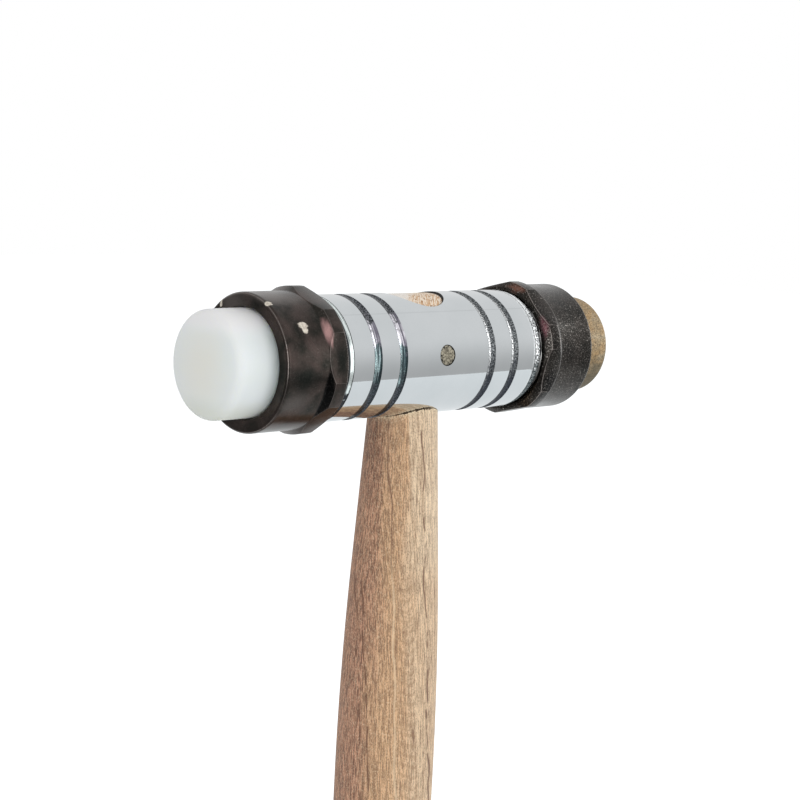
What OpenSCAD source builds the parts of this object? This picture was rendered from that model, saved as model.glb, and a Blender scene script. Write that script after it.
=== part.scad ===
// Soft face hammer: a chromed barrel on a turned beech handle, with a nylon face and a
// brass face, each clamped against a threaded neck by a blackened collar that screws on.
// The origin is the middle of the handle's flat butt, +Z runs up the handle, and the
// barrel lies along X with the nylon face at -X.

/* [Barrel] */
// Diameter of the chromed barrel
barrel_d = 30; // [27:0.5:34]
// Length of the barrel between its two end shoulders
barrel_l = 65.6; // [60:0.2:80]
// Length of the rough turned bevel at each end of the barrel
bevel_l = 2.1; // [1:0.1:4]
// How much the bevel takes off the barrel's radius
bevel_drop = 0.35; // [0.1:0.05:0.5]
// Width of each decorative groove
groove_w = 2.5; // [1.5:0.1:4]
// Depth of each decorative groove
groove_depth = 0.4; // [0.2:0.05:0.8]
// Distance from the barrel's middle to the middle of the inner groove
groove_inner_x = 15; // [12.5:0.1:17]
// Distance between the middles of the two grooves of a pair
groove_step = 8.2; // [5:0.1:10]

/* [Screw threads] */
// Length of the threaded neck at each end of the barrel
neck_l = 11.2; // [9:0.2:14]
// How far the barrel's radius stands over the crest of the thread
shoulder_h = 0.55; // [0.5:0.05:1]
// Pitch of the thread
thread_pitch = 2; // [1.5:0.1:2.4]
// Length of plain neck between the shoulder and the first thread
relief_l = 1.2; // [0.8:0.1:2]
// Length of plain bore at the mouth of a collar, before its thread
collar_lead = 0.4; // [0.2:0.1:1]
// Chamfer at the end of the neck
neck_chamfer = 0.5; // [0.2:0.05:0.8]

/* [Collars] */
// Gap between the barrel's shoulder and the back of a tightened collar
collar_gap = 0.5; // [0.3:0.1:1.5]
// Wall of the round cap outside the thread
cap_wall = 1.55; // [1.2:0.05:2.5]
// Length of the hexagonal flange, up to the round cap
flange_l = 6.1; // [5:0.1:8]
// How far the flats of the hexagon stand over the cap
flat_rise = 0.15; // [0.1:0.05:0.5]
// How far the turned corners of the hexagon stand over its flats
corner_rise = 1; // [0.5:0.05:1.4]
// Length of the chamfer at the back of the flange
back_chamfer_l = 1.25; // [0.6:0.05:2]
// How much the back chamfer takes off the corner's radius
back_chamfer_drop = 1.6; // [0.8:0.05:2]
// Length of the chamfer from the corners down to the cap
front_chamfer_l = 1.6; // [0.8:0.05:2.4]
// Thickness of the lip that holds the face in
lip_t = 3.6; // [2:0.1:5]
// Radius of the rounded front rim
rim_round = 0.9; // [0.4:0.1:1.4]
// Chamfer on the inner edge of the lip
lip_chamfer = 0.4; // [0.2:0.05:0.8]
// Turn of the hexagon on the nylon face's collar, in degrees
nylon_collar_turn = 8.4; // [0:0.1:60]
// Turn of the hexagon on the brass face's collar, in degrees
brass_collar_turn = 14.4; // [0:0.1:60]

/* [Faces] */
// How far a face stands out of its collar
face_stand = 11.6; // [8:0.1:20]
// Thickness of the flange that the lip clamps
face_flange_t = 4; // [2.5:0.1:6]
// How far that flange stands out round the face
face_ledge = 0.8; // [0.5:0.05:1.2]
// Radius of the rounded striking edge
face_edge_r = 2; // [0.5:0.1:4]
// Height of the shallow dome on the striking end
face_crown = 1.1; // [0.4:0.1:2.5]

/* [Handle] */
// Height of the barrel's axis over the butt
handle_l = 235; // [200:1:300]
// Diameter of the eye through the barrel
eye_d = 17; // [14:0.1:18.5]
// How far the neck of the handle stands out round the eye
neck_ledge = 0.15; // [0.1:0.05:0.4]
// Slope of the straight taper below the barrel, in degrees
taper_angle = 3.3; // [2:0.1:4]
// Length of that straight taper
taper_l = 37; // [25:1:45]
// Diameter of the handle at its fullest
swell_d = 24.8; // [24:0.1:30]
// Diameter that the handle comes down to at the butt
butt_d = 21.6; // [18:0.1:23.5]
// Radius of the rounded edge of the butt
butt_round = 4; // [2:0.1:6]
// How far the end of the tenon lies under the barrel's surface
tenon_sink = 0.35; // [0.1:0.05:1]

/* [Pin] */
// Diameter of the cross pin
pin_d = 5; // [4:0.1:6]
// Height of the pin over the barrel's axis
pin_rise = 1.3; // [0:0.1:2]
// Distance of the pin from the barrel's middle, towards the brass face
pin_x = -0.5; // [-1:0.1:1]
// How far the pin's ends lie under the barrel's surface
pin_sink = 0.05; // [0.02:0.01:0.2]

/* [Fits] */
// Radial clearance between the two threads
thread_fit = 0.15; // [0.12:0.01:0.2]
// Radial clearance between a face and its collar
face_fit = 0.15; // [0.1:0.01:0.25]
// Radial clearance between the tenon and the eye
tenon_fit = 0.2; // [0.1:0.01:0.4]
// Clearance between the scribed top of the handle and the barrel
saddle_fit = 0.05; // [0.03:0.01:0.1]
// Radial clearance between the pin and its hole
pin_fit = 0.05; // [0.03:0.01:0.1]

/* [Hidden] */
$fn = 120;

// How far every cut runs past the face it opens
overrun = 1;

// Thread form, as shares of the pitch, with flanks at sixty degrees to each other
thread_depth_share = 0.55;
thread_crest_share = 0.15;
flank_half_angle = 30;
thread_steps_per_turn = 36;
// Share of a turn over which the ridge fades into its wall at each end
thread_fade_share = 0.25;
// How deep the ridge's foot is sunk into the wall that carries it
thread_foot = 0.2;

// Steps along each long arc of the handle's outline, and round the edge of its butt
arc_steps = 12;
butt_steps = 8;

// Steps round the large circle that a face's dome is cut from
dome_steps = 720;

barrel_r = barrel_d / 2;
shoulder_x = barrel_l / 2;
eye_r = eye_d / 2;
pin_r = pin_d / 2;

thread_depth = thread_pitch * thread_depth_share;
thread_crest_w = thread_pitch * thread_crest_share;
ridge_h = thread_depth + thread_foot;
thread_foot_w = thread_crest_w + 2 * ridge_h * tan(flank_half_angle);
// The faded ends of a ridge stay half a foot's depth inside the wall
least_fade = thread_foot / (2 * ridge_h);
thread_r = barrel_r - shoulder_h;
neck_r = thread_r - thread_depth;
nut_root_r = thread_r + thread_fit;
nut_crest_r = neck_r + thread_fit;

neck_end_x = shoulder_x + neck_l;
collar_back_x = shoulder_x + collar_gap;
lip_back_x = neck_end_x + face_flange_t;
collar_front_x = lip_back_x + lip_t;
collar_l = collar_front_x - collar_back_x;
face_end_x = collar_front_x + face_stand;

// Where the middle of each ridge starts and ends. The collar's helix lies half a pitch
// from the neck's, in the middle of its grooves.
neck_ridge_from = shoulder_x + relief_l + thread_foot_w / 2;
neck_ridge_to = neck_end_x - neck_chamfer - thread_foot_w / 2;
collar_ridge_from = collar_back_x + collar_lead + thread_foot_w / 2;
collar_ridge_to = neck_end_x - thread_foot_w / 2;
neck_datum = shoulder_x;
collar_datum = neck_datum + thread_pitch / 2;

cap_r = nut_root_r + cap_wall;
flat_r = cap_r + flat_rise;
corner_r = flat_r + corner_rise;
face_flange_r = nut_crest_r - face_fit;
face_r = face_flange_r - face_ledge;
lip_r = face_r + face_fit;

// Radius of the dome, from its height over the face's radius
crown_r = (pow(face_r, 2) + pow(face_crown, 2)) / (2 * face_crown);

// Handle outline: straight taper, then an arc to the fullest place, then one to the butt
tenon_r = eye_r - tenon_fit;
neck_top_r = eye_r + neck_ledge;
neck_top_z = handle_l - barrel_r;
taper_end_r = neck_top_r + taper_l * tan(taper_angle);
taper_end_z = neck_top_z - taper_l;
swell_r = swell_d / 2;
upper_arc_r = (swell_r - taper_end_r) / (1 - cos(taper_angle));
swell_z = taper_end_z - upper_arc_r * sin(taper_angle);
butt_r = butt_d / 2;
lower_drop = swell_r - butt_r;
lower_arc_r = (pow(swell_z, 2) + pow(lower_drop, 2)) / (2 * lower_drop);
butt_round_x = swell_r - lower_arc_r
    + sqrt(pow(lower_arc_r - butt_round, 2) - pow(swell_z - butt_round, 2));

// Turns a piece made along +Z so that it lies along +X, at the height of the barrel's axis
module along_x() {
    translate([0, 0, handle_l]) rotate([0, 90, 0]) children();
}

// Places a piece made for the brass end at the nylon end, without mirroring its thread
module at_nylon_end() {
    rotate([0, 0, 180]) children();
}

// One ring of four points across a helical ridge, at a given number of turns
function ridge_ring(turn, fade, foot_r, crest_r, datum_z) =
    let (angle = 360 * turn,
         z = datum_z + thread_pitch * turn,
         top_r = foot_r + (crest_r - foot_r) * fade)
    [[foot_r * cos(angle), foot_r * sin(angle), z - thread_foot_w / 2],
     [top_r * cos(angle), top_r * sin(angle), z - thread_crest_w / 2],
     [top_r * cos(angle), top_r * sin(angle), z + thread_crest_w / 2],
     [foot_r * cos(angle), foot_r * sin(angle), z + thread_foot_w / 2]];

// A right-hand helical ridge that fades into its wall at both ends. The crest lies
// outside the foot on the neck and inside it on the collar.
module thread_ridge(wall_r, crest_r, datum_z, from_z, to_z) {
    outward = crest_r > wall_r;
    foot_r = outward ? wall_r - thread_foot : wall_r + thread_foot;
    from_turn = (from_z - datum_z) / thread_pitch;
    to_turn = (to_z - datum_z) / thread_pitch;
    steps = ceil((to_turn - from_turn) * thread_steps_per_turn);
    rings = [for (i = [0 : steps])
        let (turn = from_turn + (to_turn - from_turn) * i / steps,
             from_end = min(turn - from_turn, to_turn - turn) / thread_fade_share,
             fade = max(least_fade, min(1, from_end)))
        ridge_ring(turn, fade, foot_r, crest_r, datum_z)];
    points = [for (ring = rings) each ring];
    sides = [for (i = [0 : steps - 1], k = [0 : 3])
        let (a = 4 * i + k, b = 4 * i + (k + 1) % 4)
        each [[a, b, b + 4], [a, b + 4, a + 4]]];
    last = 4 * steps;
    ends = [[0, 2, 1], [0, 3, 2], [last, last + 1, last + 2], [last, last + 2, last + 3]];
    faces = concat(sides, ends);
    turned_faces = [for (f = faces) [f[0], f[2], f[1]]];
    polyhedron(points, outward ? faces : turned_faces, convexity = 10);
}

// Outline of half the barrel, as distance from the axis and distance along it
function half_barrel_outline() = [
    [0, 0],
    [barrel_r, 0],
    [barrel_r, shoulder_x - bevel_l],
    [barrel_r - bevel_drop, shoulder_x],
    [neck_r, shoulder_x],
    [neck_r, neck_end_x - neck_chamfer],
    [neck_r - neck_chamfer, neck_end_x],
    [0, neck_end_x]];

module half_barrel() {
    rotate_extrude() polygon(half_barrel_outline());
    thread_ridge(neck_r, thread_r, neck_datum, neck_ridge_from, neck_ridge_to);
}

module groove_cut(x) {
    translate([0, 0, x - groove_w / 2]) difference() {
        cylinder(r = barrel_r + overrun, h = groove_w);
        translate([0, 0, -overrun])
            cylinder(r = barrel_r - groove_depth, h = groove_w + 2 * overrun);
    }
}

module pin_hole() {
    translate([pin_x, 0, handle_l + pin_rise]) rotate([90, 0, 0])
        cylinder(r = pin_r + pin_fit, h = barrel_d + 2 * overrun, center = true);
}

// Steel barrel with its two threaded necks, the eye and the pin hole
module head_barrel() {
    color("#cdd2d6") difference() {
        union() {
            along_x() half_barrel();
            at_nylon_end() along_x() half_barrel();
        }
        for (side = [-1, 1], k = [0, 1])
            along_x() groove_cut(side * (groove_inner_x + k * groove_step));
        translate([0, 0, handle_l - barrel_r - overrun])
            cylinder(r = eye_r, h = barrel_d + 2 * overrun);
        pin_hole();
    }
}

// Points along an arc that is upright at the swell, from one height to another
function swell_arc(arc_r, from_z, to_z) = [for (i = [0 : arc_steps])
    let (z = from_z + (to_z - from_z) * i / arc_steps)
    [swell_r - arc_r + sqrt(pow(arc_r, 2) - pow(z - swell_z, 2)), z]];

// Points round the edge of the butt, from its flat to the lower arc
function butt_edge() =
    let (end_angle = asin((swell_z - butt_round) / (lower_arc_r - butt_round)))
    [for (i = [0 : butt_steps])
        let (angle = -90 + (90 - end_angle) * i / butt_steps)
        [butt_round_x + butt_round * cos(angle), butt_round + butt_round * sin(angle)]];

// Outline of the handle up to the barrel's axis, as distance from its axis and height
function handle_outline() =
    let (edge = butt_edge(),
         lower = swell_arc(lower_arc_r, edge[butt_steps][1], swell_z),
         upper = swell_arc(upper_arc_r, swell_z, taper_end_z))
    concat([[0, 0]],
           edge,
           [for (i = [1 : arc_steps]) lower[i]],
           [for (i = [1 : arc_steps]) upper[i]],
           [[neck_top_r - barrel_r * tan(taper_angle), handle_l], [0, handle_l]]);

// Beech handle: turned grip, top scribed to the barrel, and a tenon through the eye
module handle() {
    color("#c49a74") difference() {
        union() {
            difference() {
                rotate_extrude() polygon(handle_outline());
                translate([0, 0, handle_l]) rotate([0, 90, 0])
                    cylinder(r = barrel_r + saddle_fit, h = barrel_d, center = true);
            }
            intersection() {
                translate([0, 0, taper_end_z])
                    cylinder(r = tenon_r, h = handle_l + barrel_r - taper_end_z);
                union() {
                    translate([0, 0, handle_l]) rotate([0, 90, 0])
                        cylinder(r = barrel_r - tenon_sink, h = barrel_d, center = true);
                    translate([-eye_r, -eye_r, taper_end_z])
                        cube([eye_d, eye_d, handle_l - taper_end_z]);
                }
            }
        }
        pin_hole();
    }
}

// Brass pin through the barrel and the tenon, dressed flush with the barrel
module cross_pin() {
    color("#8f7d56") intersection() {
        translate([pin_x, 0, handle_l + pin_rise]) rotate([90, 0, 0])
            cylinder(r = pin_r, h = barrel_d, center = true);
        translate([0, 0, handle_l]) rotate([0, 90, 0])
            cylinder(r = barrel_r - pin_sink, h = barrel_d, center = true);
    }
}

// Outline of a face: clamped flange, round stem, and a domed end with a rounded edge
module face_outline() {
    edge_x = face_r - face_edge_r;
    dome_centre_z = face_end_x - crown_r;
    edge_z = dome_centre_z + sqrt(pow(crown_r - face_edge_r, 2) - pow(edge_x, 2));
    translate([0, neck_end_x]) square([face_flange_r, face_flange_t]);
    intersection() {
        translate([0, dome_centre_z]) circle(r = crown_r, $fn = dome_steps);
        union() {
            translate([0, lip_back_x]) square([face_r, edge_z - lip_back_x]);
            translate([0, edge_z]) square([edge_x, face_end_x - edge_z]);
            translate([edge_x, edge_z]) circle(r = face_edge_r);
        }
    }
}

module face() {
    along_x() rotate_extrude() face_outline();
}

module nylon_face() {
    color("#e4e9ea") at_nylon_end() face();
}

module brass_face() {
    color("#b59b6e") face();
}

// Hexagonal flange with turned corners, chamfered at the back and down to the cap. Its
// front cone runs on into the cap's wall, so that the two meet in a clean edge.
module collar_flange(turn) {
    inner_r = cap_r - cap_wall / 2;
    inner_l = flange_l + (cap_r - inner_r) * front_chamfer_l / (corner_r - cap_r);
    intersection() {
        translate([0, 0, collar_back_x]) rotate_extrude() polygon([
            [0, 0],
            [corner_r - back_chamfer_drop, 0],
            [corner_r, back_chamfer_l],
            [corner_r, flange_l - front_chamfer_l],
            [inner_r, inner_l],
            [0, inner_l]]);
        translate([0, 0, collar_back_x]) rotate([0, 0, turn])
            cylinder(r = flat_r / cos(30), h = inner_l, $fn = 6);
    }
}

// Round cap, from inside the flange to its rounded front rim
module collar_cap() {
    cap_start = flange_l - front_chamfer_l;
    translate([0, 0, collar_back_x]) rotate_extrude() {
        translate([0, cap_start]) square([cap_r, collar_l - rim_round - cap_start]);
        square([cap_r - rim_round, collar_l]);
        translate([cap_r - rim_round, collar_l - rim_round]) circle(r = rim_round);
    }
}

// Collar that screws on a neck and clamps a face by its flange
module collar(turn) {
    along_x() {
        difference() {
            union() {
                collar_flange(turn);
                collar_cap();
            }
            translate([0, 0, collar_back_x - overrun])
                cylinder(r = nut_root_r, h = lip_back_x - collar_back_x + overrun);
            translate([0, 0, collar_back_x])
                cylinder(r = lip_r, h = collar_l + overrun);
            translate([0, 0, collar_front_x - lip_chamfer])
                cylinder(r1 = lip_r, r2 = lip_r + lip_chamfer + overrun, h = lip_chamfer + overrun);
        }
        thread_ridge(nut_root_r, nut_crest_r, collar_datum, collar_ridge_from, collar_ridge_to);
    }
}

module nylon_collar() {
    color("#463e3a") at_nylon_end() collar(nylon_collar_turn);
}

module brass_collar() {
    color("#463e3a") collar(brass_collar_turn);
}

head_barrel();
handle();
cross_pin();
nylon_face();
brass_face();
nylon_collar();
brass_collar();
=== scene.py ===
import math

import bmesh
import bpy
import numpy as np
from mathutils import Euler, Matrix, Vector


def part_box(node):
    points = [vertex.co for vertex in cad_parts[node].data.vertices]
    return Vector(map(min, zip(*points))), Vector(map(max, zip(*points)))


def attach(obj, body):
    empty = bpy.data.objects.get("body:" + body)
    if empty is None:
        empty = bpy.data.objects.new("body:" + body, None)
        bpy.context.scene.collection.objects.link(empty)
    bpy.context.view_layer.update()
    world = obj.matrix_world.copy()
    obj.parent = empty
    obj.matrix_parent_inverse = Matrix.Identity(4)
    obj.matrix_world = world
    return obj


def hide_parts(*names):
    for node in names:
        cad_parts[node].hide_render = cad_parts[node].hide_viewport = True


MM = 0.001
SEED = 7

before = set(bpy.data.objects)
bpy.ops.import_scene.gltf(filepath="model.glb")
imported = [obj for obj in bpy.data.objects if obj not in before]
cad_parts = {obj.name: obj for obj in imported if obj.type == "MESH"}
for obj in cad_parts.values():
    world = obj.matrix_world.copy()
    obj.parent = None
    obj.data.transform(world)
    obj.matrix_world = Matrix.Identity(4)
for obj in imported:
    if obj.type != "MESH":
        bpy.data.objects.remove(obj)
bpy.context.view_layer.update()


# Sizes that the frame gives

def box_mm(node):
    low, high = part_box(node)
    return np.array(low) / MM, np.array(high) / MM


barrel_low, barrel_high = box_mm("head_barrel")
collar_low, collar_high = box_mm("brass_collar")
face_low, face_high = box_mm("brass_face")
pin_low, pin_high = box_mm("cross_pin")

AXIS_Z = (barrel_low[2] + barrel_high[2]) / 2
BARREL_R = (barrel_high[2] - barrel_low[2]) / 2
NECK_END = barrel_high[0]
COLLAR_BACK = collar_low[0]
COLLAR_FRONT = collar_high[0]
CORNER_R = (collar_high[2] - collar_low[2]) / 2
FACE_END = face_high[0]
FACE_FLANGE_R = (face_high[2] - face_low[2]) / 2
SWELL_R = box_mm("handle")[1][0]
PIN_R = (pin_high[0] - pin_low[0]) / 2
PIN_X = (pin_high[0] + pin_low[0]) / 2
PIN_Z = (pin_high[2] + pin_low[2]) / 2

# Barrel
NECK_L = 11.2
SHOULDER_X = NECK_END - NECK_L
SHOULDER_ROUND = 0.1
BEVEL_L = 2.1
BEVEL_DROP = 0.35
BEVEL_X = SHOULDER_X - BEVEL_L
SCORE_STARTS = (0.0, 1.55)
SCORE_W = 0.2
SCORE_DEPTH = 0.12
GRIT_STEP = 0.22
LEFT_GRIT = 0.008
RIGHT_GRIT = 0.03
PITTED_L = 0.9
GROOVE_W = 2.5
GROOVE_DEPTH = 0.4
GROOVE_MIDDLES = (15.0, 23.2)
GROOVE_HOLLOW = 2.6
GROOVE_POINTS = 17
BURR_GLINT_MIDDLE = 0.5
BURR_GLINT_FALL = 1.2
CHATTER = 0.035
EYE_R = 8.5
EYE_STEPS = 160
CUT_OVERRUN = 1.0
WALL_NEAR = 0.005
BARREL_STEPS = 480
BARREL_SHARP = 35

# Threads
THREAD_PITCH = 2.0
THREAD_DEPTH = 1.1
THREAD_CREST_W = 0.3
THREAD_FLANK = math.tan(math.radians(30))
THREAD_FOOT_W = THREAD_CREST_W + 2 * THREAD_DEPTH * THREAD_FLANK
THREAD_START = 0.25
THREAD_FADE = 0.25
THREAD_FIT = 0.15
THREAD_RING_STEP = 0.16
SHOULDER_H = 0.55
RELIEF_L = 1.2
NECK_CHAMFER = 0.5
NECK_STEPS = 120
THREAD_R = BARREL_R - SHOULDER_H
NECK_R = THREAD_R - THREAD_DEPTH
NUT_ROOT_R = THREAD_R + THREAD_FIT

# Collars
CAP_WALL = 1.55
CAP_R = NUT_ROOT_R + CAP_WALL
FLAT_DROP = 1.0
FLAT_R = CORNER_R - FLAT_DROP
FLANGE_L = 6.1
BACK_CHAMFER_L = 1.25
BACK_CHAMFER_DROP = 1.6
FRONT_CHAMFER_L = 1.6
LIP_T = 3.6
LIP_CHAMFER = 0.4
RIM_ROUND = 0.9
RIM_HOLD = 0.01
RIM_POINTS = 9
BORE_LEAD = 0.2
BORE_RELIEF = 0.4
COLLAR_LEAD = 0.4
EDGE_SOFT = 0.14
SIXTH = 60
FLAT_COLUMNS = 21
CORNER_COLUMNS = 11
COLLAR_SHARP = 38
NYLON_COLLAR_TURN = 8.4
BRASS_COLLAR_TURN = 14.4

# Faces
LIP_BACK = COLLAR_FRONT - LIP_T
LIP_FIT = 0.15
FACE_FLANGE_H = 0.8
FACE_R = FACE_FLANGE_R - FACE_FLANGE_H
LIP_R = FACE_R + LIP_FIT
FACE_FLANGE_ROUND = 0.3
FACE_EDGE_R = 2.0
FACE_EDGE_POINTS = 13
FACE_CROWN = 1.1
FACE_CROWN_POINTS = 16
FACE_STEPS = 192

# Handle
NECK_STAND = 0.15
NECK_TOP_R = EYE_R + NECK_STAND
NECK_TOP_Z = AXIS_Z - BARREL_R
TAPER = math.tan(math.radians(3.3))
TAPER_L = 37.0
TAPER_END_Z = NECK_TOP_Z - TAPER_L
TAPER_END_R = NECK_TOP_R + TAPER_L * TAPER
BUTT_R = 10.8
BUTT_ROUND = 4.0
BUTT_POINTS = 13
UPPER_ARC_R = (SWELL_R - TAPER_END_R) / (1 - math.cos(math.atan(TAPER)))
SWELL_Z = TAPER_END_Z - UPPER_ARC_R * math.sin(math.atan(TAPER))
LOWER_ARC_R = (SWELL_Z ** 2 + (SWELL_R - BUTT_R) ** 2) / (2 * (SWELL_R - BUTT_R))
GRIP_RINGS = 50
SADDLE_FIT = 0.05
SADDLE_TRIES = 6
# Rings of the taper crowd towards its top, where the tear and its wear soon fade out
TAPER_RINGS = 23
TAPER_CROWDING = 1.8
TORN_FADE = 40
WEAR_FADE = 60
TORN_TURN = 108
TORN_NARROWING = 12
SPLINTER = 0.08
SPLINTER_STEPS = 2
TORN_DEPTH = 0.5
BITE_STEPS = 9
SCRIBE_INSET = 0.12
SCRIBE_DEPTH = 0.35
SCRIBE_FLOOR = 0.5
TENON_FIT = 0.2
TENON_R = EYE_R - TENON_FIT
TENON_RING_SHARES = (-0.35, 0.0, 0.35)
TENON_SINK = 0.24
TENON_RUB = 0.14
TENON_FUZZ = 0.12
FUZZ_STEPS = 3
TENON_EDGE_W = 2.0
# Inset from the tenon's side, and depth under its end
TENON_ROWS = ((0.0, 0.7), (0.1, 0.2), (0.4, 0.04), (2.0, 0.0), (4.0, 0.0), (6.0, 0.0), (7.4, 0.0))
HANDLE_STEPS = 360
HANDLE_SHARP = 50

# Pin
PIN_FIT = 0.05
PIN_SINK = 0.06
PIN_DENT = 0.05
PIN_DENT_SHARE = 0.9
PIN_STEPS = 64
# Share of the pin's radius, and depth under its end
PIN_ROWS = ((0.1, 0.0), (0.35, 0.0), (0.6, 0.0), (0.8, 0.0), (0.9, 0.02), (0.96, 0.12), (1.0, 0.3))


# Surfaces grown from rings of points

class Skin:
    """A surface of rings, joined one to the next, with a material slot for each band."""

    def __init__(self):
        self.points = []
        self.faces = []
        self.slots = []
        self.wear_and_glint = []
        self.rings = []

    def ring(self, points, slot=0, wear_and_glint=0.0):
        start = len(self.points)
        count = len(points)
        self.points.extend(points)
        self.wear_and_glint.extend(np.broadcast_to(wear_and_glint, count))
        if self.rings:
            self.join(self.rings[-1], (start, count), slot)
        self.rings.append((start, count))

    def join(self, a, b, slot):
        """Joins two rings. Where one has more points, each face takes its share of them."""
        steps = min(a[1], b[1])
        a_share = a[1] // steps
        b_share = b[1] // steps
        for k in range(steps):
            near = [a[0] + (k * a_share + i) % a[1] for i in range(a_share + 1)]
            far = [b[0] + (k * b_share + i) % b[1] for i in range(b_share + 1)]
            self.faces.append(near + far[::-1])
            self.slots.append(slot)

    def cap(self, index, slot=0):
        """Fills a ring with one flat face."""
        start, count = self.rings[index]
        self.faces.append(list(range(start, start + count)))
        self.slots.append(slot)

    def pole(self, index, point, slot=0):
        """Closes a ring at one point."""
        start, count = self.rings[index]
        self.points.append(point)
        self.wear_and_glint.append(0.0)
        top = len(self.points) - 1
        for k in range(count):
            self.faces.append([start + k, start + (k + 1) % count, top])
            self.slots.append(slot)

    def loop(self, slot=0):
        """Joins the last ring to the first."""
        self.join(self.rings[-1], self.rings[0], slot)

    def piece(self, name, materials, sharp=40):
        mesh = bpy.data.meshes.new(name)
        places = np.array(self.points) * MM
        mesh.from_pydata(places.tolist(), [], self.faces)
        for material in materials:
            mesh.materials.append(material)
        mesh.polygons.foreach_set("material_index", self.slots)
        attribute = mesh.attributes.new("wear_and_glint", "FLOAT", "POINT")
        attribute.data.foreach_set("value", np.array(self.wear_and_glint, np.float32))
        turn_outward(mesh)
        smooth(mesh, sharp)
        return placed(name, mesh)


def placed(name, data):
    """A new object in the scene."""
    piece = bpy.data.objects.new(name, data)
    bpy.context.scene.collection.objects.link(piece)
    return piece


def turn_outward(mesh):
    work = bmesh.new()
    work.from_mesh(mesh)
    bmesh.ops.recalc_face_normals(work, faces=work.faces)
    work.to_mesh(mesh)
    work.free()


def smooth(mesh, sharp):
    mesh.polygons.foreach_set("use_smooth", [True] * len(mesh.polygons))
    mesh.set_sharp_from_angle(angle=math.radians(sharp))


def even_turns(count):
    return np.arange(count) * 2 * math.pi / count


def spaced(start, end, step):
    return np.linspace(start, end, 1 + round(abs(end - start) / step))


def about_x(x, r, turns):
    """A ring about the barrel's axis, from places and radii along it."""
    return np.stack(np.broadcast_arrays(x, r * np.cos(turns), AXIS_Z + r * np.sin(turns)), 1)


def about_z(r, z, turns):
    """A ring about the handle's axis."""
    return np.stack(np.broadcast_arrays(r * np.cos(turns), r * np.sin(turns), z), 1)


def rounded(corners, steps=4):
    """Points of an outline of (x, r, fillet) corners, with an arc at each fillet."""
    points = []
    for i, (x, r, fillet) in enumerate(corners):
        here = np.array((x, r))
        if fillet == 0:
            points.append(here)
            continue
        ways = [np.array(corners[k][:2]) - here for k in (i - 1, i + 1)]
        before, after = [way / np.linalg.norm(way) for way in ways]
        half = math.acos(np.clip(before @ after, -1, 1)) / 2
        middle = (before + after) / np.linalg.norm(before + after)
        centre = here + middle * fillet / math.sin(half)
        ends = [here + way * fillet / math.tan(half) - centre for way in (before, after)]
        first, last = [math.atan2(end[1], end[0]) for end in ends]
        sweep = (last - first + math.pi) % (2 * math.pi) - math.pi
        for k in range(steps + 1):
            angle = first + sweep * k / steps
            points.append(centre + fillet * np.array((math.cos(angle), math.sin(angle))))
    return points


def ragged(rng, count, width):
    """Values from 0 to 1 round a ring that wander over about width steps."""
    raw = rng.random(count)
    kernel = np.ones(width) / width
    wrapped = np.concatenate([raw[-width:], raw, raw[:width]])
    soft = np.convolve(wrapped, kernel, "same")[width:-width]
    return (soft - soft.min()) / (soft.max() - soft.min())


# Node materials

class Value:
    """An output of a node, with short ways to pass it through others."""

    def __init__(self, nodes, socket):
        self.nodes = nodes
        self.socket = socket

    def maths(self, operation, other=0.0):
        return self.nodes.add("ShaderNodeMath", 0, self, other, operation=operation)

    def __add__(self, other):
        return self.maths("ADD", other)

    def __sub__(self, other):
        return self.maths("SUBTRACT", other)

    def __mul__(self, other):
        return self.maths("MULTIPLY", other)

    def __abs__(self):
        return self.maths("ABSOLUTE")

    def most(self, other):
        return self.maths("MAXIMUM", other)

    def least(self, other):
        return self.maths("MINIMUM", other)

    def rest(self):
        """What the value lacks of 1."""
        return self.nodes.add("ShaderNodeMath", 0, 1.0, self, operation="SUBTRACT")

    def step(self, low, high, to_low=0.0, to_high=1.0):
        """Goes smoothly from one number to another while the value goes from low to high."""
        return self.nodes.add("ShaderNodeMapRange", "Result", self, low, high, to_low, to_high,
                              interpolation_type="SMOOTHSTEP")

    def spread(self, to_low, to_high):
        """Brings a noise's usual range to another."""
        return self.step(0.3, 0.7, to_low, to_high)

    def mix(self, a, b):
        """Mixes two colours. Their sockets go by number because their names repeat."""
        node = self.nodes.tree.nodes.new("ShaderNodeMix")
        node.data_type = "RGBA"
        for number, value in ((0, self), (6, a), (7, b)):
            self.nodes.put(node.inputs[number], value)
        return Value(self.nodes, node.outputs[2])

    def shade(self, low, high, a, b, share=1.0):
        """One colour, with a share of another over it as the value goes from low to high."""
        return self.step(low, high, 0.0, share).mix(a, b)

    def off(self, place):
        """How far the value is from a place, either way."""
        return abs(self - place)

    def axis(self, number):
        return self.nodes.add("ShaderNodeSeparateXYZ", number, self)

    def split(self):
        return [self.axis(number) for number in range(3)]

    def length(self):
        return self.nodes.add("ShaderNodeVectorMath", "Value", self, operation="LENGTH")


class Nodes:
    """A node tree, with a short way to add to it."""

    def __init__(self, tree):
        self.tree = tree

    def put(self, socket, value):
        """Links a socket to a value, or sets it. Colours are written without alpha."""
        if isinstance(value, Value):
            self.tree.links.new(value.socket, socket)
        else:
            socket.default_value = (*value, 1.0) if socket.type == "RGBA" else value

    def add(self, kind, out, *values, **named):
        """Adds a node and gives one of its outputs. Values go to its sockets in their order.

        A name in small letters is a setting of the node, and any other is a socket."""
        node = self.tree.nodes.new(kind)
        for key, value in named.items():
            if key.islower():
                setattr(node, key, value)
            else:
                self.put(node.inputs[key], value)
        for socket, value in zip(node.inputs, values):
            self.put(socket, value)
        return None if out is None else Value(self, node.outputs[out])

    def ray(self, kind):
        """1 for rays of one kind, and 0 for others."""
        return self.add("ShaderNodeLightPath", f"Is {kind} Ray")

    def gloss(self):
        return self.ray("Glossy").most(self.ray("Transmission"))

    def vector(self, x, y, z=0.0):
        return self.add("ShaderNodeCombineXYZ", 0, x, y, z)


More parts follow.
